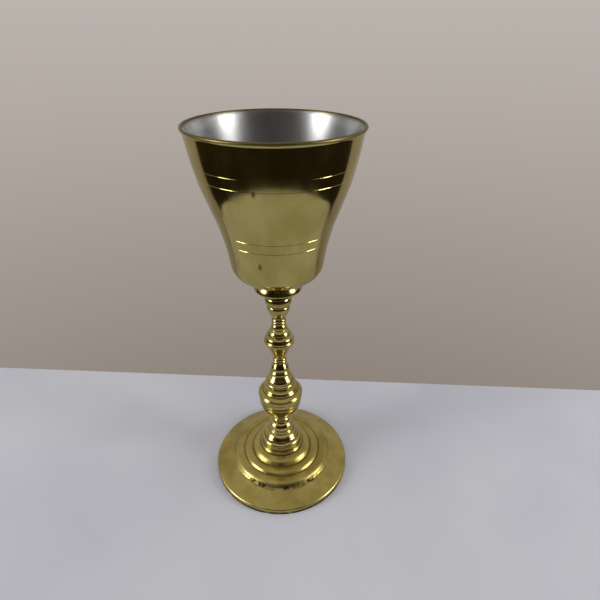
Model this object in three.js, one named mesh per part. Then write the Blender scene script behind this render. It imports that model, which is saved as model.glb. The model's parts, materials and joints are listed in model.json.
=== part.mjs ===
// An open altar ciborium in turned brass: a silvered cup on a stem of turned sections, standing on a stepped round
// base, all drawn together by one tie rod. Millimetres, +Z up, the base's resting face on Z = 0, the axis on X = Y = 0.
import * as THREE from 'three';

// Driving dimensions.
const OVERALL_H = 350;
const CUP_RIM_R = 66.5;
const BASE_R = 69.8;
const BASE_SEAT_Z = 27.5;
const BASE_WALL = 1.8;

// The tie rod and what is screwed on it.
const ROD_R = 2.9;
const ROD_BOTTOM_Z = 13;
const ROD_TOP_Z = 224.6;
const BORE_R = 3.3;
const NUT_FLATS = 10;
const NUT_H = 5;
const LOCK_WASHER_H = 1.4;
const LOCK_WASHER_R = 5.6;
const SPREADER_H = 2;
const SPREADER_R = 14;

// How neighbouring sections find each other's centre, and the gap left where pieces turn.
const SPIGOT_R = 4.6;
const SPIGOT_H = 2;
const RECESS_R = 4.9;
const RECESS_H = 2.3;
const FOOT_SPIGOT_R = 8;
const RUNNING_GAP = 0.3;

// Heights of the turned sections, from the base up.
const FOOT_FLANGE_H = 13.3;
const FOOT_BELL_H = 11.5;
const LOWER_BALUSTER_H = 19.2;
const KNOP_LOWER_H = 17.5;
const KNOP_UPPER_H = 19.8;
const KNOP_SEAT_H = 17.8;
const MIDDLE_BALUSTER_H = 32;
const UPPER_KNOP_H = 10.3;
const UPPER_BALUSTER_H = 31.9;
const FERRULE_H = 14.2;
const COLLAR_H = 11;
const STEM_H = FOOT_FLANGE_H + FOOT_BELL_H + LOWER_BALUSTER_H + KNOP_LOWER_H + KNOP_UPPER_H + KNOP_SEAT_H
  + MIDDLE_BALUSTER_H + UPPER_KNOP_H + UPPER_BALUSTER_H + FERRULE_H;
const COLLAR_Z = BASE_SEAT_Z + STEM_H + RUNNING_GAP;
const CUP_Z = COLLAR_Z + COLLAR_H + RUNNING_GAP;

// The great knop is a hollow ball in two halves.
const KNOP_R = 20.9;
const KNOP_WALL = 2.2;
const KNOP_CENTRE_ABOVE_SEAM = 1;
const KNOP_LIP_R = 17.9;
const KNOP_LIP_H = 1.5;

// The cup and its liner.
const CUP_WALL = 1.2;
const LINER_WALL = 0.8;
const LINER_GAP = 0.3;
const RIM_BEAD_R = 1.2;
const BOSS_R = 8.2;
const BOSS_H = 10.2;

// Facets round the axis, and steps along each curve of an outline.
const STEM_SIDES = 24;
const WIDE_SIDES = 40;
const CURVE_STEPS = 3;

const BRASS = { color: 0xa8924a, metalness: 1, roughness: 0.28 };
const SATIN_BRASS = { color: 0x9c8748, metalness: 1, roughness: 0.42 };
const SILVER = { color: 0xb9b9b6, metalness: 1, roughness: 0.3 };
const STEEL = { color: 0x8c8c8a, metalness: 1, roughness: 0.45 };

// Half of a turned piece's section, in (radius, height). It runs outwards along the bottom, up the outside, inwards
// along the top and back down the bore.
class Section extends THREE.Path {
  constructor(r, z) {
    super();
    this.moveTo(r, z);
  }

  to(r, z) {
    this.lineTo(r, z);
    return this;
  }

  // A curve that leaves towards the control point and arrives from it.
  bend(controlR, controlZ, r, z) {
    this.quadraticCurveTo(controlR, controlZ, r, z);
    return this;
  }

  // A rounded bead that stands out from the straight line by swell.
  bead(r, z, swell) {
    const middleR = (this.currentPoint.x + r) / 2;
    const middleZ = (this.currentPoint.y + z) / 2;
    return this.bend(middleR + 2 * swell, middleZ, r, z);
  }
}

function turn(name, section, look, sides) {
  const outline = section.getPoints(CURVE_STEPS);
  const endsOnAxis = outline.at(-1).x === 0;
  if (!endsOnAxis) outline.push(outline[0].clone());
  const geometry = new THREE.LatheGeometry(outline, sides);
  geometry.rotateX(Math.PI / 2);
  const mesh = new THREE.Mesh(geometry, new THREE.MeshStandardMaterial(look));
  mesh.name = name;
  return mesh;
}

// The underside of a section: the bore's foot, and the recess that takes the spigot of the section below.
function recessed(outerR) {
  return new Section(BORE_R, RECESS_H).to(RECESS_R, RECESS_H).to(RECESS_R, 0).to(outerR, 0);
}

// The top of a section: the spigot that stands up into the section above.
function spigoted(section, height) {
  return section.to(SPIGOT_R, height).to(SPIGOT_R, height + SPIGOT_H).to(BORE_R, height + SPIGOT_H);
}

function footFlange() {
  const section = new Section(BORE_R, -BASE_WALL).to(FOOT_SPIGOT_R, -BASE_WALL).to(FOOT_SPIGOT_R, 0).to(22.1, 0);
  section.bead(21.7, 2.2, 0.4).to(21.2, 2.6).bend(20.6, 5.2, 20.5, 8.2).to(20.1, 8.6).to(20.6, 9);
  section.bend(21, 10.8, 19.8, 11.8).bend(18.6, 12.9, 17.4, 13).to(16.9, FOOT_FLANGE_H);
  return spigoted(section, FOOT_FLANGE_H);
}

function footBell() {
  const section = recessed(17).bend(18, 0.5, 17.6, 1.3).to(17, 2).bend(15.7, 4.9, 12.9, 6.6);
  section.to(12.6, 7).bend(13.1, 7.5, 12.6, 8.2).to(11.6, 9).to(11.4, 10.4).to(11.8, FOOT_BELL_H);
  return spigoted(section, FOOT_BELL_H);
}

function lowerBaluster() {
  const section = recessed(11.8).bend(13.1, 0.4, 12.5, 1.6).bend(11.9, 5, 9.4, 7).to(7.9, 7.6).to(7.7, 8.2);
  section.bend(9.1, 8.8, 8.7, 10).bend(8.3, 11.4, 7.1, 12.2).to(6.9, 13.2);
  section.bend(8.2, 15.2, 7, 17.4).to(6.4, 18).to(6.6, LOWER_BALUSTER_H);
  return spigoted(section, LOWER_BALUSTER_H);
}

// The lower half of the knop is part of a ball, with a lip inside its edge that centres the upper half.
function knopLower() {
  const centreZ = KNOP_LOWER_H + KNOP_CENTRE_ABOVE_SEAM;
  const inside = KNOP_R - KNOP_WALL;
  const section = recessed(7.4);
  section.absarc(0, centreZ, KNOP_R, -1.08, -0.07);
  section.to(20.3, KNOP_LOWER_H).to(KNOP_LIP_R, KNOP_LOWER_H).to(KNOP_LIP_R, KNOP_LOWER_H + KNOP_LIP_H);
  section.to(KNOP_LIP_R - 1, KNOP_LOWER_H + KNOP_LIP_H);
  section.bend(inside - 1, 6.2, 9, 5);
  return section.to(BORE_R, 5);
}

// The upper half is flatter: two bands round its edge, a sloping ring, a small bead and a low dome.
function knopUpper() {
  const inside = KNOP_R - KNOP_WALL;
  const section = new Section(inside, 0).to(20.3, 0).to(20.9, 0.6);
  section.bead(21.5, 5.9, 0.15).to(21.1, 6.2).to(21.7, 6.5).bead(21.5, 9.4, 0.15).to(20.8, 9.8).to(21, 10.1);
  section.bead(17.7, 12.8, 0.5).to(17.1, 13).bead(16.3, 14.8, 0.35).bend(15.6, 17.2, 12.6, 18.4).to(12, 18.7);
  spigoted(section, KNOP_UPPER_H).to(BORE_R, 13.4).to(9, 13.4);
  return section.bend(inside - 1.4, 11.4, inside, 0);
}

// The seat stands on the dome with a thin flange, and narrows to a bead.
function knopSeat() {
  const section = recessed(11.8).bend(12.4, 1.2, 14.2, 1.8).to(14.5, 2.4).to(14.3, 3.3).bend(13.6, 4.4, 12.8, 4.7);
  section.bend(13.3, 6.6, 12, 8.4).bend(10.4, 10.6, 9.3, 12.2).to(9, 12.7);
  section.bead(8.7, 16.8, 0.9).to(7.9, KNOP_SEAT_H);
  return spigoted(section, KNOP_SEAT_H);
}

// A small baluster, three turned grooves, and a trumpet that spreads up to the next knop.
function middleBaluster() {
  const section = recessed(7.8).bend(9.2, 2, 7.9, 4.4).bend(7.2, 6.2, 6.2, 7.6).to(5.9, 8.8);
  section.bead(5.9, 11.4, 0.7).bead(5.9, 14.2, 0.7).to(6.2, 14.8);
  section.bend(7.1, 17.8, 8.6, 20.8).bend(10.6, 25.2, 12.7, 30.4).bend(13.1, 31.4, 13.4, MIDDLE_BALUSTER_H);
  return spigoted(section, MIDDLE_BALUSTER_H);
}

// A wide ring with a fine raised line round it and a sloping shoulder.
function upperKnop() {
  const section = recessed(13.6).to(14, 0.3).bead(14, 3, 0.2).to(13.5, 3.6).to(13.1, 4.1).to(12.9, 6.2);
  section.bend(12.6, 7.7, 10.7, 8.9).to(10, 9.3).to(9.8, UPPER_KNOP_H);
  return spigoted(section, UPPER_KNOP_H);
}

function upperBaluster() {
  const section = recessed(9.7).bend(10.3, 1, 9.6, 2).bend(8.8, 3.5, 7.7, 4.4).to(7.3, 5).to(7.1, 7.5);
  section.bend(7, 8.7, 6.4, 9.6).to(6, 10.2).bead(6, 13.1, 0.55).bead(6, 16.2, 0.55).to(6.3, 17.4);
  section.bend(8.1, 20.2, 9.2, 23.4).to(10, 25.6).bead(10.1, 29.4, 0.2).to(9.6, 30.2).to(10.3, UPPER_BALUSTER_H);
  return spigoted(section, UPPER_BALUSTER_H);
}

// The ferrule ends in a flat top, so the collar can turn on it.
function ferrule() {
  const section = recessed(10.6).to(11.2, 0.5).to(11.7, 1.3).bead(11.8, 5.9, 0.2).bend(11.6, 7.4, 10.5, 8.2);
  return section.to(9.9, 8.8).to(9.8, 9.8).bend(9.8, 12.2, 11.4, FERRULE_H).to(BORE_R, FERRULE_H);
}

// A thick round-edged ring under the cup, hollow for the boss.
function collar() {
  const section = new Section(BORE_R, 0).to(11.4, 0).to(19.4, 0.3).bend(21.2, 0.7, 20.9, 2.7);
  section.bend(20.5, 6, 18.2, 8.5).bend(16.9, 9.7, 16.6, COLLAR_H).to(BOSS_R + RUNNING_GAP, COLLAR_H);
  return section.to(BOSS_R + RUNNING_GAP, 1).to(BORE_R, 1);
}

// The cup's wall from its flat underside, round the bottom corner and up the side to just under the rim, as (radius,
// height above the underside). An inset moves every point towards the inside of the cup.
function cupPoints(inset) {
  const bottom = [[16, 0], [28, 1.9], [36.4, 5.2]];
  const side = [[38.6, 14], [41.4, 39.6], [52.5, 68.4], [60.5, 89.2], [65.1, 119.8]];
  return [...bottom.map(([r, z]) => [r - 0.4 * inset, z + inset]), ...side.map(([r, z]) => [r - inset, z])];
}

function upTheCup(section, inset) {
  const [flat, corner, turnControl, foot, lowerControl, waist, upperControl, shoulder] = cupPoints(inset);
  section.to(...flat).to(...corner).bend(...turnControl, ...foot);
  return section.bend(...lowerControl, ...waist).bend(...upperControl, ...shoulder);
}

function downTheCup(section, inset) {
  const [flat, corner, turnControl, foot, lowerControl, waist, upperControl, shoulder] = cupPoints(inset);
  section.to(...shoulder).bend(...upperControl, ...waist).bend(...lowerControl, ...foot);
  return section.bend(...turnControl, ...corner).to(...flat).to(0, inset);
}

// The brass cup, its edge rolled outwards into a bead.
function cupShell() {
  const section = upTheCup(new Section(0, 0), 0);
  section.absarc(CUP_RIM_R - RIM_BEAD_R, OVERALL_H - CUP_Z - RIM_BEAD_R, RIM_BEAD_R, -1.2, 3.6);
  return downTheCup(section, CUP_WALL);
}

// The silvered liner stands inside the cup, with its lip level with the middle of the rim bead.
function cupLiner() {
  const outside = CUP_WALL + LINER_GAP;
  const inside = outside + LINER_WALL;
  const lipZ = OVERALL_H - CUP_Z - RIM_BEAD_R;
  const lipR = CUP_RIM_R - 2 * RIM_BEAD_R - LINER_GAP;
  const section = upTheCup(new Section(0, outside), outside).to(lipR, lipZ);
  section.to(lipR - LINER_WALL, lipZ);
  return downTheCup(section, inside);
}

// The boss brazed under the cup, which screws down over the top of the tie rod.
function cupBoss() {
  return new Section(BORE_R, 0).to(BOSS_R - 0.5, 0).to(BOSS_R, 0.5).to(BOSS_R, BOSS_H).to(BORE_R, BOSS_H);
}

// A spun dish: a rounded edge, a plain brim that rises inwards, three swelling steps and a flat seat for the stem.
function baseDish() {
  const section = new Section(67.4, 0).to(69.3, 0).to(BASE_R, 0.6).to(BASE_R, 3.8).bend(69.8, 6, 68.2, 6.5);
  section.bend(60.5, 9.2, 52.4, 13.6).to(51, 14.4);
  section.bend(48.6, 19.9, 42.6, 19.5).to(40, 18.7);
  section.bend(37.6, 22.5, 33.4, 22.1).to(31, 21.3);
  section.bend(28.4, 26.9, 23.6, 27.3).to(22.6, BASE_SEAT_Z);
  const hole = FOOT_SPIGOT_R + RUNNING_GAP;
  section.to(hole, BASE_SEAT_Z).to(hole, BASE_SEAT_Z - BASE_WALL).to(22, BASE_SEAT_Z - BASE_WALL);
  return section.bend(27.6, 24.4, 31, 19.4).to(40, 16.8).to(50.6, 12.5).bend(60, 7.9, 66.8, 4.8).to(67.4, 4.1);
}

function tieRod() {
  const chamfer = 0.5;
  const length = ROD_TOP_Z - ROD_BOTTOM_Z;
  const section = new Section(0, 0).to(ROD_R - chamfer, 0).to(ROD_R, chamfer).to(ROD_R, length - chamfer);
  return section.to(ROD_R - chamfer, length).to(0, length);
}

function ring(outerR, height) {
  return new Section(BORE_R, 0).to(outerR, 0).to(outerR, height).to(BORE_R, height);
}

function hexNut(name, look) {
  const cornerR = NUT_FLATS / 2 / Math.cos(Math.PI / 6);
  const corners = [0, 1, 2, 3, 4, 5].map((corner) => {
    const angle = (corner * Math.PI) / 3;
    return new THREE.Vector2(cornerR * Math.cos(angle), cornerR * Math.sin(angle));
  });
  const outline = new THREE.Shape(corners);
  outline.holes.push(new THREE.Path().absarc(0, 0, BORE_R, 0, 2 * Math.PI, true));
  const geometry = new THREE.ExtrudeGeometry(outline, { depth: NUT_H, bevelEnabled: false, curveSegments: 12 });
  const mesh = new THREE.Mesh(geometry, new THREE.MeshStandardMaterial(look));
  mesh.name = name;
  return mesh;
}

const ciborium = new THREE.Group();

function place(mesh, z) {
  mesh.position.z = z;
  ciborium.add(mesh);
}

place(turn('base_dish', baseDish(), SATIN_BRASS, WIDE_SIDES), 0);

const stem = [
  ['foot_flange', footFlange(), FOOT_FLANGE_H],
  ['foot_bell', footBell(), FOOT_BELL_H],
  ['lower_baluster', lowerBaluster(), LOWER_BALUSTER_H],
  ['knop_lower_half', knopLower(), KNOP_LOWER_H],
  ['knop_upper_half', knopUpper(), KNOP_UPPER_H],
  ['knop_seat', knopSeat(), KNOP_SEAT_H],
  ['middle_baluster', middleBaluster(), MIDDLE_BALUSTER_H],
  ['upper_knop', upperKnop(), UPPER_KNOP_H],
  ['upper_baluster', upperBaluster(), UPPER_BALUSTER_H],
  ['stem_ferrule', ferrule(), FERRULE_H],
];
let seatZ = BASE_SEAT_Z;
for (const [name, section, height] of stem) {
  place(turn(name, section, BRASS, STEM_SIDES), seatZ);
  seatZ += height;
}

place(turn('cup_collar', collar(), BRASS, STEM_SIDES), COLLAR_Z);
place(turn('cup_boss', cupBoss(), BRASS, STEM_SIDES), CUP_Z - BOSS_H);
place(turn('cup_shell', cupShell(), SATIN_BRASS, WIDE_SIDES), CUP_Z);
place(turn('cup_liner', cupLiner(), SILVER, WIDE_SIDES), CUP_Z);

// The rod and its fastenings, from the underside of the base seat down.
const spreaderZ = BASE_SEAT_Z - BASE_WALL - SPREADER_H;
const lockWasherZ = spreaderZ - LOCK_WASHER_H;
const nutZ = lockWasherZ - RUNNING_GAP - NUT_H;
place(turn('tie_rod', tieRod(), STEEL, STEM_SIDES), ROD_BOTTOM_Z);
place(turn('spreader_washer', ring(SPREADER_R, SPREADER_H), BRASS, STEM_SIDES), spreaderZ);
place(turn('lock_washer', ring(LOCK_WASHER_R, LOCK_WASHER_H), STEEL, STEM_SIDES), lockWasherZ);
place(hexNut('base_nut', STEEL), nutZ);

export default ciborium;
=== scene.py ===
"""An open altar ciborium in turned brass, standing on a pale table: a Blender 4.5 scene.

Every turned piece is made again from its CAD node: the node's outline is read from its mesh, its curves
are made smooth, its sharp edges are eased, and the outline is turned round the axis again. Metres, +Z up.
"""
import json
import math

import bpy
import numpy as np
from mathutils import Matrix, Vector


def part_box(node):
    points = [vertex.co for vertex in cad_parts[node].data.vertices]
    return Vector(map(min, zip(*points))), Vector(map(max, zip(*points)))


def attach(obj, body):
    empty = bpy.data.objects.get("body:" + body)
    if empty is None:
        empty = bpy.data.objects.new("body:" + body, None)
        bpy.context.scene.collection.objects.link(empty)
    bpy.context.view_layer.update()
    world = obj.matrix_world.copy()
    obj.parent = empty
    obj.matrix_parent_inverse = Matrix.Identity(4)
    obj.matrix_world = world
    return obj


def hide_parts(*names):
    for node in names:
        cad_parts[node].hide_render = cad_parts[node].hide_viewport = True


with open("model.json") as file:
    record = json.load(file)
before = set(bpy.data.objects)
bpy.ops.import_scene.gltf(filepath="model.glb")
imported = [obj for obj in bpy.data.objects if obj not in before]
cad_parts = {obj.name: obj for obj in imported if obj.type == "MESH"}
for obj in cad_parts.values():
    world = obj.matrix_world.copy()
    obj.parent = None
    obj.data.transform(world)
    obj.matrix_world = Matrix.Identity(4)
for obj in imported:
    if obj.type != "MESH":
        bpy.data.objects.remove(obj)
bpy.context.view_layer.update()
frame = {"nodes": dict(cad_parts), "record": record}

MM = 0.001

# How finely the turned pieces are made again.
SEGMENTS = 192
CURVE_STEP = 0.4 * MM
EASED_EDGE = 0.2 * MM
EDGE_STEPS = 4
CONVEX_CORNER = math.radians(66)
CONCAVE_CORNER = math.radians(46)

# The cup is engraved with pairs of fine lines: the places of the lines, as parts of the cup's height.
ENGRAVED_LINES = (0.326, 0.391, 0.736, 0.802)
ENGRAVED_WIDTH = 0.34 * MM
ENGRAVED_DEPTH = 0.12 * MM

# Where dirt has gathered on the base, where shade is painted round the foot's seam, and where two drips have
# dried on the cup.
GROOVE_R = 51 * MM
SEAM_R = 22.2 * MM
DRIPS = ((-14.5 * MM, -58.9 * MM, 316.7 * MM), (-13 * MM, -38 * MM, 255 * MM))

# The camera stands in front of the object and looks down at it.
CAMERA_PLACE = (0.0, -0.3390, 0.4078)
CAMERA_YAW = math.radians(3.215)
CAMERA_PITCH = math.radians(31.167)
CAMERA_ROLL = math.radians(0.327)
CAMERA_LENS = 27.06

# The table's edges, in front of the object and behind it. It stands a little askew.
TABLE_FRONT = -0.387
TABLE_BACK = 0.1305
TABLE_SLOPE = -0.105

# The room as it shows in the brass: the windows at both sides, and the dim floor round the table.
WINDOW_AZIMUTH = 70
WINDOW_POWER = 15
DIM_FLOOR_REACH = 2.6
FLOOR_LIFT = 0.6 * MM


# Outlines


def outline_points(name):
    """The (r, z) corners of a turned node's outline in order, and whether it is a closed loop."""
    mesh = frame["nodes"][name].data
    corners, index = [], []
    for vertex in mesh.vertices:
        point = np.array([math.hypot(vertex.co.x, vertex.co.y), vertex.co.z])
        near = [i for i, corner in enumerate(corners) if np.abs(corner - point).max() < 3e-6]
        if not near:
            corners.append(point)
        index.append(near[0] if near else len(corners) - 1)
    links = {i: set() for i in range(len(corners))}
    for edge in mesh.edges:
        a, b = (index[v] for v in edge.vertices)
        if a != b:
            links[a].add(b)
            links[b].add(a)
    ends = [i for i, others in links.items() if len(others) == 1]
    chain = [ends[0] if ends else 0]
    while True:
        onward = [i for i in links[chain[-1]] if i not in chain]
        if not onward:
            break
        chain.append(onward[0])
    points = np.array([corners[i] for i in chain])
    if ends and points[0][0] > 1e-6:
        points = np.vstack([[0, points[0][1]], points, [0, points[-1][1]]])
    if runs_clockwise(points):
        points = points[::-1]
    return points, not ends


def runs_clockwise(points):
    nexts = np.roll(points, -1, axis=0)
    return (points[:, 0] * nexts[:, 1] - nexts[:, 0] * points[:, 1]).sum() < 0


def unit(vector):
    return vector / max(np.linalg.norm(vector), 1e-12)


def turning(before, after):
    """The angle from one direction to the next, positive where a counter-clockwise outline bulges."""
    return math.atan2(before[0] * after[1] - before[1] * after[0], float(before @ after))


def mirrored(tangent, chord):
    """The direction at the other end of an arc that leaves its first end along tangent."""
    return 2 * (tangent @ chord) * chord - tangent


class Outline:
    """A closed or open run of (r, z) points, with which of them are sharp corners."""

    def __init__(self, points, closed):
        self.points = points
        self.closed = closed
        self.count = len(points)

    def span(self, i):
        return self.points[(i + 1) % self.count] - self.points[i % self.count]

    def is_sharp(self, i):
        if not self.closed and i in (0, self.count - 1):
            return True
        angle = turning(unit(self.span(i - 1)), unit(self.span(i)))
        return angle > CONVEX_CORNER or angle < -CONCAVE_CORNER

    def tangent(self, i):
        """The direction of a smooth curve through corner i, led by the longer of its two spans."""
        before, after = self.span(i - 1), self.span(i)
        weight = np.linalg.norm(before), np.linalg.norm(after)
        return unit(before * weight[0] + after * weight[1])

    def smooth(self):
        """Every span as a curve that meets its smooth neighbours in one direction. Corners stay in place."""
        sharp = [self.is_sharp(i) for i in range(self.count)]
        run, corner = [], []
        for i in range(self.count if self.closed else self.count - 1):
            j = (i + 1) % self.count
            chord = unit(self.span(i))
            start = None if sharp[i] else self.tangent(i)
            end = None if sharp[j] else self.tangent(j)
            if start is None and end is not None:
                start = mirrored(end, chord)
            if end is None and start is not None:
                end = mirrored(start, chord)
            for k, point in enumerate(curve(self.points[i], self.points[j], start, end)):
                run.append(point)
                corner.append(k == 0 and sharp[i])
        if not self.closed:
            run.append(self.points[-1])
            corner.append(True)
        return np.array(run), corner


def curve(a, b, start, end):
    """Points from a towards b, without b, along a cubic curve that leaves by start and arrives by end."""
    length = np.linalg.norm(b - a)
    if start is None or abs(turning(start, end)) < math.radians(1.5):
        return [a]
    handle = length / 3 / math.cos(turning(start, end) / 4) ** 2
    steps = max(2, math.ceil(length / CURVE_STEP))
    t = np.linspace(0, 1, steps, endpoint=False)[:, None]
    c, d = a + start * handle, b - end * handle
    return list((1 - t) ** 3 * a + 3 * t * (1 - t) ** 2 * c + 3 * t * t * (1 - t) * d + t ** 3 * b)


def ease(points, corner, closed):
    """The outline with its outward corners worn round."""
    eased = []
    count = len(points)
    for i, point in enumerate(points):
        at_end = not closed and i in (0, count - 1)
        before, after = point - points[i - 1], points[(i + 1) % count] - point
        if at_end or not corner[i] or turning(unit(before), unit(after)) < CONCAVE_CORNER / 2:
            eased.append(point)
            continue
        cut = min(EASED_EDGE, 0.4 * np.linalg.norm(before), 0.4 * np.linalg.norm(after))
        a, b = point - unit(before) * cut, point + unit(after) * cut
        for t in np.linspace(0, 1, EDGE_STEPS):
            eased.append((1 - t) ** 2 * a + 2 * t * (1 - t) * point + t * t * b)
    return np.array(eased)


def engraved(points, height):
    """The outline with a fine V groove cut into its outside at a height."""
    i = next(i for i in range(len(points) - 1) if points[i][1] < height <= points[i + 1][1])
    a, b = points[i], points[i + 1]
    middle = a + (b - a) * (height - a[1]) / (b[1] - a[1])
    along = unit(b - a)
    half = along * ENGRAVED_WIDTH / 2
    bottom = middle - np.array([along[1], -along[0]]) * ENGRAVED_DEPTH
    below, above = list(points[:i + 1]), list(points[i + 1:])
    while (middle - half - below[-1]) @ along <= 0:
        below.pop()
    while (above[0] - middle - half) @ along <= 0:
        above.pop(0)
    return np.array(below + [middle - half, bottom, middle + half] + above)


# Meshes


def sunk_depths(points, closed, reach=1.5 * MM):
    """How far each outline point lies below the outline around it, in metres. Crests are negative."""
    steps = np.linalg.norm(np.diff(points, axis=0, append=points[:1]), axis=1)
    place = np.concatenate([[0], np.cumsum(steps)[:-1]])
    gaps = np.abs(place[:, None] - place[None, :])
    if closed:
        gaps = np.minimum(gaps, steps.sum() - gaps)
    weight = np.exp(-((gaps / reach) ** 2)) * (steps + np.roll(steps, 1))[None, :]
    mean = (weight @ points) / weight.sum(1, keepdims=True)
    along = np.roll(points, -1, axis=0) - np.roll(points, 1, axis=0)
    outward = np.stack([along[:, 1], -along[:, 0]], 1)
    outward /= np.maximum(np.linalg.norm(outward, axis=1, keepdims=True), 1e-12)
    return ((mean - points) * outward).sum(1)


def below_silhouette(points, silhouette, reach=1.5 * MM):
    """How far each outline point lies inside the stem's silhouette, smoothed over its height."""
    heights, radii = silhouette
    weight = np.exp(-(((points[:, 1:2] - heights[None, :]) / reach) ** 2))
    return (weight @ radii) / weight.sum(1) - points[:, 0]


def mesh_object(name, vertices, faces):
    mesh = bpy.data.meshes.new(name)
    mesh.from_pydata(vertices, [], faces)
    mesh.shade_smooth()
    mesh.set_sharp_from_angle(angle=math.radians(35))
    obj = bpy.data.objects.new(name, mesh)
    bpy.context.scene.collection.objects.link(obj)
    return obj


def revolve(name, points, closed, sunk, segments=SEGMENTS):
    """A mesh object made by turning an outline round Z. Its "sunk" attribute holds depths in mm."""
    angles = np.arange(segments) * (2 * math.pi / segments)
    ring = np.stack([np.cos(angles), np.sin(angles)], 1)
    vertices, rows, depths = [], [], []
    for (r, z), depth in zip(points, sunk):
        first = len(vertices)
        on_axis = r < 1e-6
        vertices += [(0, 0, z)] if on_axis else [(r * x, r * y, z) for x, y in ring]
        rows.append([first] * segments if on_axis else list(range(first, first + segments)))
        depths += [depth / MM] * (1 if on_axis else segments)
    faces = []
    for low, high in zip(rows, rows[1:] + rows[:1] if closed else rows[1:]):
        for j in range(segments):
            k = (j + 1) % segments
            face = list(dict.fromkeys((low[j], low[k], high[k], high[j])))
            if len(face) > 2:
                faces.append(face)
    obj = mesh_object(name, vertices, faces)
    obj.data.attributes.new("sunk", "FLOAT", "POINT").data.foreach_set("value", depths)
    return obj


def stands_for(obj, node, material):
    """The piece takes a CAD node's place and body, and is given a material."""
    obj.data.materials.append(material)
    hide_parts(node)
    body = next(b for b, nodes in frame["record"]["behaviour"]["bodies"].items() if node in nodes)
    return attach(obj, body)


# Turned pieces


def outer_silhouette(runs):
    """The stem's outline as one radius for each height, through all its pieces."""
    low = min(run[:, 1].min() for run in runs)
    high = max(run[:, 1].max() for run in runs)
    heights = np.arange(low, high, 0.15 * MM)
    radii = np.zeros(len(heights))
    for run in runs:
        for a, b in zip(run, np.roll(run, -1, axis=0)):
            if b[1] > a[1]:
                inside = (heights >= a[1]) & (heights <= b[1])
                along = (heights[inside] - a[1]) / (b[1] - a[1])
                radii[inside] = np.maximum(radii[inside], a[0] + (b[0] - a[0]) * along)
    return heights, radii


def fine_outline(node):
    points, closed = outline_points(node)
    run, corner = Outline(points, closed).smooth()
    return ease(run, corner, closed), closed


def turned_piece(node, piece, slot, material, run, closed, silhouette=None):
    """A turned piece from its fine outline. A silhouette also counts what lies inside it as sunk."""
    sunk = sunk_depths(run, closed)
    if silhouette is not None:
        # Points inside the stem's silhouette, under wider pieces, count as sunk and get painted shade.
        sunk = np.maximum(sunk, below_silhouette(run, silhouette))
    return stands_for(revolve(piece, run, closed, sunk), node, material)


def threaded_rod(node, material, pitch=1 * MM, depth=0.35 * MM, sides=48):
    """The tie rod with its thread cut at both ends."""
    low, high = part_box(node)
    radius = high.x
    thread = 18 * MM
    below = np.arange(low.z, low.z + thread, pitch / 6)
    above = np.arange(high.z - thread, high.z, pitch / 6)
    heights = np.concatenate([below, above, [high.z]])
    vertices = [(0, 0, low.z)]
    for z in heights:
        for k in range(sides):
            turn = k / sides
            wave = abs(((z / pitch - turn) % 1) * 2 - 1)
            end = min(1, (z - low.z) / pitch, (high.z - z) / pitch)
            r = radius - depth * (wave if end >= 1 else 1)
            vertices.append((r * math.cos(turn * math.tau), r * math.sin(turn * math.tau), z))
    vertices.append((0, 0, high.z))
    faces = []
    for k in range(sides):
        n = (k + 1) % sides
        faces.append((0, 1 + n, 1 + k))
        for row in range(len(heights) - 1):
            first = 1 + row * sides
            faces.append((first + k, first + n, first + sides + n, first + sides + k))
        last = 1 + (len(heights) - 1) * sides
        faces.append((last + k, last + n, len(vertices) - 1))
    return stands_for(mesh_object("Tie_rod", vertices, faces), node, material)


def hexagon_nut(node, material, segments=144):
    """A nut whose corners are turned off to a cone at both ends."""
    bore, apothem, low, high = nut_section(node)
    chamfer_r = apothem * 0.96
    slope = math.tan(math.radians(30))
    vertices, faces = [], []
    for k in range(segments):
        angle = k * math.tau / segments
        off_flat = (angle + math.pi / 6) % (math.pi / 3) - math.pi / 6
        outer = apothem / math.cos(off_flat)
        drop = (outer - chamfer_r) * slope
        lead = 0.3 * MM
        section = [(bore, low + lead), (bore + lead, low), (chamfer_r, low), (outer, low + drop),
                   (outer, high - drop), (chamfer_r, high), (bore + lead, high), (bore, high - lead)]
        vertices += [(r * math.cos(angle), r * math.sin(angle), z) for r, z in section]
    for k in range(segments):
        n = (k + 1) % segments
        for i in range(8):
            j = (i + 1) % 8
            faces.append((k * 8 + i, n * 8 + i, n * 8 + j, k * 8 + j))
    return stands_for(mesh_object("Base_nut", vertices, faces), node, material)


def nut_section(node):
    """The nut's bore radius, the distance from its axis to its flats, and its lowest and highest Z."""
    mesh = frame["nodes"][node].data
    radii = [math.hypot(v.co.x, v.co.y) for v in mesh.vertices]
    low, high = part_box(node)
    return min(radii), max(radii) * math.cos(math.pi / 6), low.z, high.z


# Materials


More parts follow.
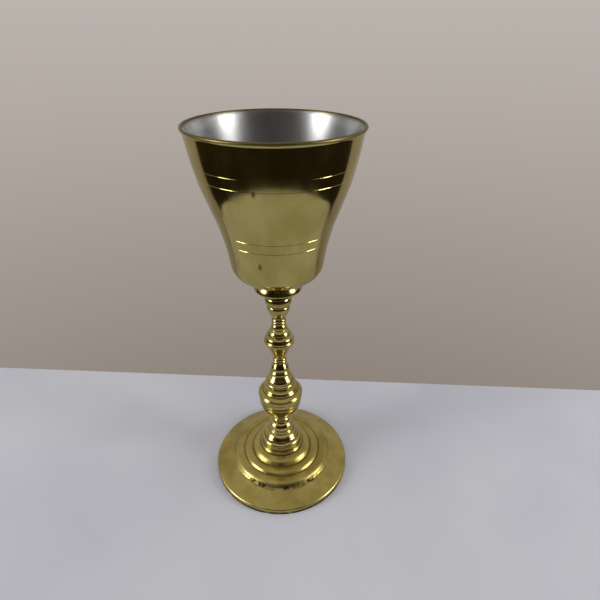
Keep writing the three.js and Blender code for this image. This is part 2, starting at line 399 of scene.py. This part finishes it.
class Tree:
    """A node tree being built for a material."""

    def __init__(self, name):
        self.material = bpy.data.materials.new(name)
        self.material.use_nodes = True
        self.tree = self.material.node_tree
        self.shader = next(n for n in self.tree.nodes if n.type == "BSDF_PRINCIPLED")

    def add(self, kind, inputs=None, **settings):
        node = self.tree.nodes.new("ShaderNode" + kind)
        for name, value in settings.items():
            setattr(node, name, value)
        for name, value in (inputs or {}).items():
            self.link(value, node.inputs[name])
        return node

    def link(self, value, socket):
        if isinstance(value, bpy.types.NodeSocket):
            self.tree.links.new(value, socket)
        else:
            socket.default_value = value

    def set(self, **inputs):
        for name, value in inputs.items():
            self.link(value, self.shader.inputs[name.replace("_", " ").title()])

    def math(self, operation, a, b=0.0, c=0.0):
        node = self.add("Math", {0: a, 1: b, 2: c}, operation=operation)
        return node.outputs[0]

    def place(self):
        """The point's place on the piece, in metres."""
        return self.add("TexCoord").outputs["Object"]

    def axes(self):
        node = self.add("SeparateXYZ", {0: self.place()})
        return node.outputs

    def scaled(self, x, y, z):
        return self.add("Mapping", {"Vector": self.place(), "Scale": (x, y, z)}).outputs[0]

    def noise(self, vector, scale, detail=4.0, roughness=0.55):
        inputs = {"Vector": vector, "Scale": scale, "Detail": detail, "Roughness": roughness}
        return self.add("TexNoise", inputs).outputs["Fac"]

    def between(self, value, low, high, start=0.0, end=1.0):
        """The value carried smoothly from the range low to high into start to end, and not past them."""
        names = ("Value", "From Min", "From Max", "To Min", "To Max")
        inputs = dict(zip(names, (value, low, high, start, end)))
        return self.add("MapRange", inputs, interpolation_type="SMOOTHSTEP").outputs[0]

    def mix(self, factor, a, b):
        node = self.add("Mix", {0: factor, 6: a, 7: b}, data_type="RGBA")
        return node.outputs[2]

    def turning_marks(self, fineness):
        """Fine rings left by the lathe: a noise that changes only with radius and height."""
        x, y, z = self.axes()
        rings = self.add("CombineXYZ", {"X": self.radius(), "Z": z}).outputs[0]
        return self.noise(rings, fineness, 3.0, 0.6)

    def radius(self):
        x, y, z = self.axes()
        return self.math("SQRT", self.math("ADD", self.math("MULTIPLY", x, x), self.math("MULTIPLY", y, y)))

    def near(self, place, reach):
        """How near the point lies to a place: 1 there, 0 from its reach along each axis outwards."""
        shrink = tuple(1 / r for r in reach)
        shift = tuple(-p * s for p, s in zip(place, shrink))
        inputs = {"Vector": self.place(), "Scale": shrink, "Location": shift}
        offset = self.add("Mapping", inputs).outputs[0]
        distance = self.add("VectorMath", {0: offset}, operation="LENGTH").outputs["Value"]
        return self.between(distance, 0.35, 1, 1, 0)

    def sunk(self):
        """How far the point lies in a groove, in millimetres."""
        return self.add("Attribute", attribute_name="sunk").outputs["Fac"]

    def bump(self, height, distance, strength=1.0):
        inputs = {"Height": height, "Distance": distance, "Strength": strength}
        return self.add("Bump", inputs).outputs[0]


def no_dirt_or_shade(t):
    return 0.0


def brass(name, bright, dull, roughness, ring_depth, grime_and_shade=0.75, stains=0.5, dirt_and_shade_at=no_dirt_or_shade):
    """Old turned brass: lathe rings, cloudy tarnish, small amber stains, and dark patina with painted shade
    in the grooves.

    The last argument makes, from the tree, how much each place is darkened besides: by dirt, and by painted
    shade."""
    t = Tree(name)
    cloud = t.noise(t.scaled(1, 1, 0.6), 38)
    colour = t.mix(t.between(cloud, 0.35, 0.7), (*bright, 1), (*dull, 1))
    spots = t.noise(t.scaled(1, 1, 0.45), 260, 5.0, 0.6)
    amber = tuple(c * k for c, k in zip(dull, (0.72, 0.5, 0.35)))
    colour = t.mix(t.between(spots, 0.66, 0.76, 0, stains), colour, (*amber, 1))
    # Darker the more sunk the surface is: dark patina in the grooves, and painted shade in grooves and under
    # wider pieces.
    ragged = t.math("MULTIPLY_ADD", t.noise(t.place(), 420), 0.3, -0.15)
    dirt_and_shade = t.between(t.math("ADD", t.sunk(), ragged), 0.12, 0.6, 0, grime_and_shade)
    dirt_and_shade = t.math("MAXIMUM", dirt_and_shade, dirt_and_shade_at(t))
    colour = t.mix(dirt_and_shade, colour, (0.035, 0.022, 0.008, 1))
    rings = t.turning_marks(2600)
    smear = t.noise(t.scaled(1, 1, 0.35), 90, 5.0)
    rough = t.math("ADD", t.between(smear, 0.3, 0.75, roughness * 0.8, roughness * 1.5),
                   t.math("MULTIPLY", dirt_and_shade, 0.35))
    rough = t.math("ADD", rough, t.math("MULTIPLY", t.math("SUBTRACT", rings, 0.5), roughness * 0.5))
    t.set(base_color=colour, metallic=1.0, roughness=rough, normal=t.bump(rings, ring_depth))
    return t.material


def base_dirt_and_shade(t):
    """Black patches along the bottom edge and in the outermost groove at the front, and painted shade round
    the foot's seam.
    """
    patches = t.noise(t.place(), 190, 5.0, 0.65)
    _, y, z = t.axes()
    edge = t.between(z, 2 * MM, 4.2 * MM, 1, 0)
    edge = t.math("MULTIPLY", edge, t.between(patches, 0.34, 0.52))
    from_groove = t.math("ABSOLUTE", t.math("SUBTRACT", t.radius(), GROOVE_R))
    groove = t.between(from_groove, 0.5 * MM, 3 * MM, 1, 0)
    groove = t.math("MULTIPLY", groove, t.between(y, -0.042, -0.034, 1, 0))
    groove = t.math("MULTIPLY", groove, t.between(patches, 0.4, 0.55))
    # Painted shade: a dark band on the base round where the foot stands on it.
    foot_seam_shade = t.between(t.radius(), SEAM_R, SEAM_R + 1.5 * MM, 1, 0)
    return t.math("MAXIMUM", t.math("MAXIMUM", edge, groove), t.math("MULTIPLY", foot_seam_shade, 0.9))


def cup_drips_and_dark_rim(t):
    """A darkened rim bead, and two amber drips down the front."""
    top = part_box("cup_shell")[1].z
    z = t.axes()[2]
    rim = t.between(z, top - 2.6 * MM, top - 1.2 * MM, 0, 0.72)
    drips = [t.near(place, (1.8 * MM, 8 * MM, 4 * MM)) for place in DRIPS]
    return t.math("MAXIMUM", rim, t.math("MULTIPLY", t.math("MAXIMUM", *drips), 0.6))


def silver(name):
    """Satin silver plate, with rings from spinning and a few grey clouds."""
    t = Tree(name)
    cloud = t.noise(t.scaled(1, 1, 0.5), 30)
    colour = t.mix(t.between(cloud, 0.35, 0.7), (0.45, 0.455, 0.46, 1), (0.33, 0.335, 0.34, 1))
    rings = t.turning_marks(2200)
    rough = t.math("MULTIPLY_ADD", rings, 0.16, 0.24)
    t.set(base_color=colour, metallic=1.0, roughness=rough, normal=t.bump(rings, 0.02 * MM))
    return t.material


def steel(name):
    """Plain turned steel gone grey, with rust-brown specks."""
    t = Tree(name)
    specks = t.noise(t.place(), 700, 4.0)
    colour = t.mix(t.between(specks, 0.6, 0.72), (0.42, 0.41, 0.39, 1), (0.16, 0.09, 0.05, 1))
    rings = t.turning_marks(3000)
    rough = t.math("MULTIPLY_ADD", specks, 0.3, 0.28)
    t.set(base_color=colour, metallic=1.0, roughness=rough, normal=t.bump(rings, 0.02 * MM))
    return t.material


def tablecloth():
    """Pale cloth, smooth from a distance."""
    t = Tree("Pale_tablecloth")
    wide = t.noise(t.place(), 3.5, 3.0)
    colour = t.mix(t.between(wide, 0.3, 0.7), (0.50, 0.53, 0.62, 1), (0.57, 0.60, 0.68, 1))
    weave = t.noise(t.place(), 1500, 2.0)
    folds = t.noise(t.scaled(1, 0.6, 1), 9, 2.0)
    height = t.math("MULTIPLY_ADD", weave, 0.05, t.math("MULTIPLY", folds, 1.0))
    t.set(base_color=colour, roughness=0.9, normal=t.bump(height, 1.2 * MM))
    return t.material


def glow(name, colour, strength):
    material = bpy.data.materials.new(name)
    material.use_nodes = True
    nodes = material.node_tree.nodes
    nodes.clear()
    light = nodes.new("ShaderNodeEmission")
    light.inputs["Color"].default_value = (*colour, 1)
    light.inputs["Strength"].default_value = strength
    material.node_tree.links.new(light.outputs[0], nodes.new("ShaderNodeOutputMaterial").inputs["Surface"])
    return material


# The room


def plane(name, centre, along, up, material):
    """A flat rectangle through centre, spanned by two half-edges."""
    c, a, u = Vector(centre), Vector(along), Vector(up)
    corners = [c - a - u, c + a - u, c + a + u, c - a + u]
    obj = mesh_object(name, [tuple(v) for v in corners], [(0, 1, 2, 3)])
    obj.data.materials.append(material)
    return obj


def reflected_only(obj):
    """The object shows in reflections, and is not seen and casts no shadow or light otherwise."""
    obj.visible_camera = obj.visible_diffuse = obj.visible_shadow = obj.visible_transmission = False
    return obj


def window(name, azimuth, distance, width, height, sill, power):
    """A soft upright light at an azimuth from the front, positive to the right, that shows in reflections."""
    a = math.radians(azimuth)
    light = bpy.data.lights.new(name, "AREA")
    light.shape = "RECTANGLE"
    light.size, light.size_y = width, height
    light.energy = power
    light.color = (1.0, 0.98, 0.95)
    obj = bpy.data.objects.new(name, light)
    bpy.context.scene.collection.objects.link(obj)
    place = Vector((distance * math.sin(a), -distance * math.cos(a), sill + height / 2))
    obj.location = place
    obj.rotation_euler = (Vector((0, 0, place.z)) - place).to_track_quat("-Z", "Y").to_euler()
    return obj


def bent_strip(name, near, far, azimuths, material, steps):
    """A strip bent round the object between two (radius, height) edges, over a range of azimuths."""
    vertices, faces = [], []
    for azimuth in np.radians(np.linspace(*azimuths, steps)):
        x, y = math.sin(azimuth), -math.cos(azimuth)
        vertices += [(radius * x, radius * y, height) for radius, height in (near, far)]
    for k in range(steps - 1):
        faces.append((2 * k, 2 * k + 2, 2 * k + 3, 2 * k + 1))
    obj = mesh_object(name, vertices, faces)
    obj.data.materials.append(material)
    return obj


def make_room():
    """A table near a pale wall, two windows at the sides, and the dim end of the room behind the camera."""
    along, across = (2, 2 * TABLE_SLOPE, 0), (-1.5 * TABLE_SLOPE, 1.5, 0)
    plane("Table", (1.5 * TABLE_SLOPE, TABLE_BACK - 1.5, 0), along, across, tablecloth())
    dark = glow("Dim_room", (0.10, 0.075, 0.055), 0.22)
    floor_edges = (-TABLE_FRONT, FLOOR_LIFT), (DIM_FLOOR_REACH, FLOOR_LIFT)
    reflected_only(bent_strip("Dim_floor", *floor_edges, (-112, 112), dark, 72))
    reflected_only(bent_strip("Dim_front", (1.6, 0.0), (1.6, 1.25), (-54, 54), dark, 48))
    for side, name in ((-1, "Window_left"), (1, "Window_right")):
        window(name, side * WINDOW_AZIMUTH, 1.5, 0.48, 0.8, 0.1, WINDOW_POWER)
    make_sky()


def make_sky():
    """Beige walls that are lighter towards the ceiling."""
    world = bpy.data.worlds.new("Room")
    bpy.context.scene.world = world
    world.use_nodes = True
    nodes, links = world.node_tree.nodes, world.node_tree.links
    coordinates = nodes.new("ShaderNodeTexCoord")
    split = nodes.new("ShaderNodeSeparateXYZ")
    ramp = nodes.new("ShaderNodeValToRGB")
    links.new(coordinates.outputs["Generated"], split.inputs[0])
    height = nodes.new("ShaderNodeMath")
    height.operation = "MULTIPLY_ADD"
    height.inputs[1].default_value = 0.5
    height.inputs[2].default_value = 0.5
    links.new(split.outputs["Z"], height.inputs[0])
    links.new(height.outputs[0], ramp.inputs[0])
    low, high = ramp.color_ramp.elements
    low.position, low.color = 0.17, (0.27, 0.23, 0.20, 1)
    high.position, high.color = 0.55, (0.52, 0.475, 0.44, 1)
    links.new(ramp.outputs[0], nodes["Background"].inputs["Color"])


def make_camera():
    camera = bpy.data.cameras.new("Camera")
    camera.lens = CAMERA_LENS
    camera.sensor_width = 36
    obj = bpy.data.objects.new("Camera", camera)
    bpy.context.scene.collection.objects.link(obj)
    level = math.cos(CAMERA_PITCH)
    forward = Vector((math.sin(CAMERA_YAW) * level, math.cos(CAMERA_YAW) * level, -math.sin(CAMERA_PITCH)))
    right = Vector((math.cos(CAMERA_YAW), -math.sin(CAMERA_YAW), 0))
    up = right.cross(forward)
    tilted_right = right * math.cos(CAMERA_ROLL) + up * math.sin(CAMERA_ROLL)
    tilted_up = up * math.cos(CAMERA_ROLL) - right * math.sin(CAMERA_ROLL)
    axes = Matrix((tilted_right, tilted_up, -forward)).transposed()
    obj.matrix_world = Matrix.Translation(CAMERA_PLACE) @ axes.to_4x4()
    bpy.context.scene.camera = obj


# The object


STEM = {
    "foot_flange": "Foot_flange",
    "foot_bell": "Foot_bell",
    "lower_baluster": "Lower_baluster",
    "knop_lower_half": "Knop_lower_half",
    "knop_upper_half": "Knop_upper_half",
    "knop_seat": "Knop_seat",
    "middle_baluster": "Middle_baluster",
    "upper_knop": "Upper_knop",
    "upper_baluster": "Upper_baluster",
    "stem_ferrule": "Stem_ferrule",
    "cup_collar": "Cup_collar",
}

satin = brass("Satin_brass", (0.47, 0.39, 0.13), (0.33, 0.27, 0.075), 0.3, 0.02 * MM, dirt_and_shade_at=base_dirt_and_shade)
# The stem's grooves are darkened most: dark patina and painted shade.
polished = brass("Polished_brass", (0.5, 0.42, 0.15), (0.34, 0.28, 0.08), 0.15, 0.01 * MM, grime_and_shade=0.95)
cup_brass = brass("Cup_brass", (0.50, 0.42, 0.15), (0.38, 0.32, 0.09), 0.11, 0.006 * MM,
                  stains=0.8, dirt_and_shade_at=cup_drips_and_dark_rim)
plain = brass("Plain_brass", (0.5, 0.38, 0.14), (0.36, 0.26, 0.09), 0.36, 0.03 * MM)
silvered = silver("Silver_plate")
bare_steel = steel("Steel")

outlines = {node: fine_outline(node) for node in STEM}
stem_silhouette = outer_silhouette([run for run, _ in outlines.values()])
for node, piece in STEM.items():
    turned_piece(node, piece, "polished_brass", polished, *outlines[node], stem_silhouette)

turned_piece("base_dish", "Base_dish", "satin_brass", satin, *fine_outline("base_dish"))
cup_run, cup_closed = fine_outline("cup_shell")
cup_low, cup_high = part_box("cup_shell")
for part in ENGRAVED_LINES:
    cup_run = engraved(cup_run, cup_low.z + part * (cup_high.z - cup_low.z))
turned_piece("cup_shell", "Cup_shell", "satin_brass", cup_brass, cup_run, cup_closed)
turned_piece("cup_liner", "Cup_liner", "silver_plate", silvered, *fine_outline("cup_liner"))
turned_piece("cup_boss", "Cup_boss", "plain_brass", plain, *fine_outline("cup_boss"))
turned_piece("spreader_washer", "Spreader_washer", "plain_brass", plain, *fine_outline("spreader_washer"))
turned_piece("lock_washer", "Lock_washer", "steel", bare_steel, *fine_outline("lock_washer"))
threaded_rod("tie_rod", bare_steel)
hexagon_nut("base_nut", bare_steel)

make_room()
make_camera()
bpy.context.scene.view_settings.view_transform = "Standard"
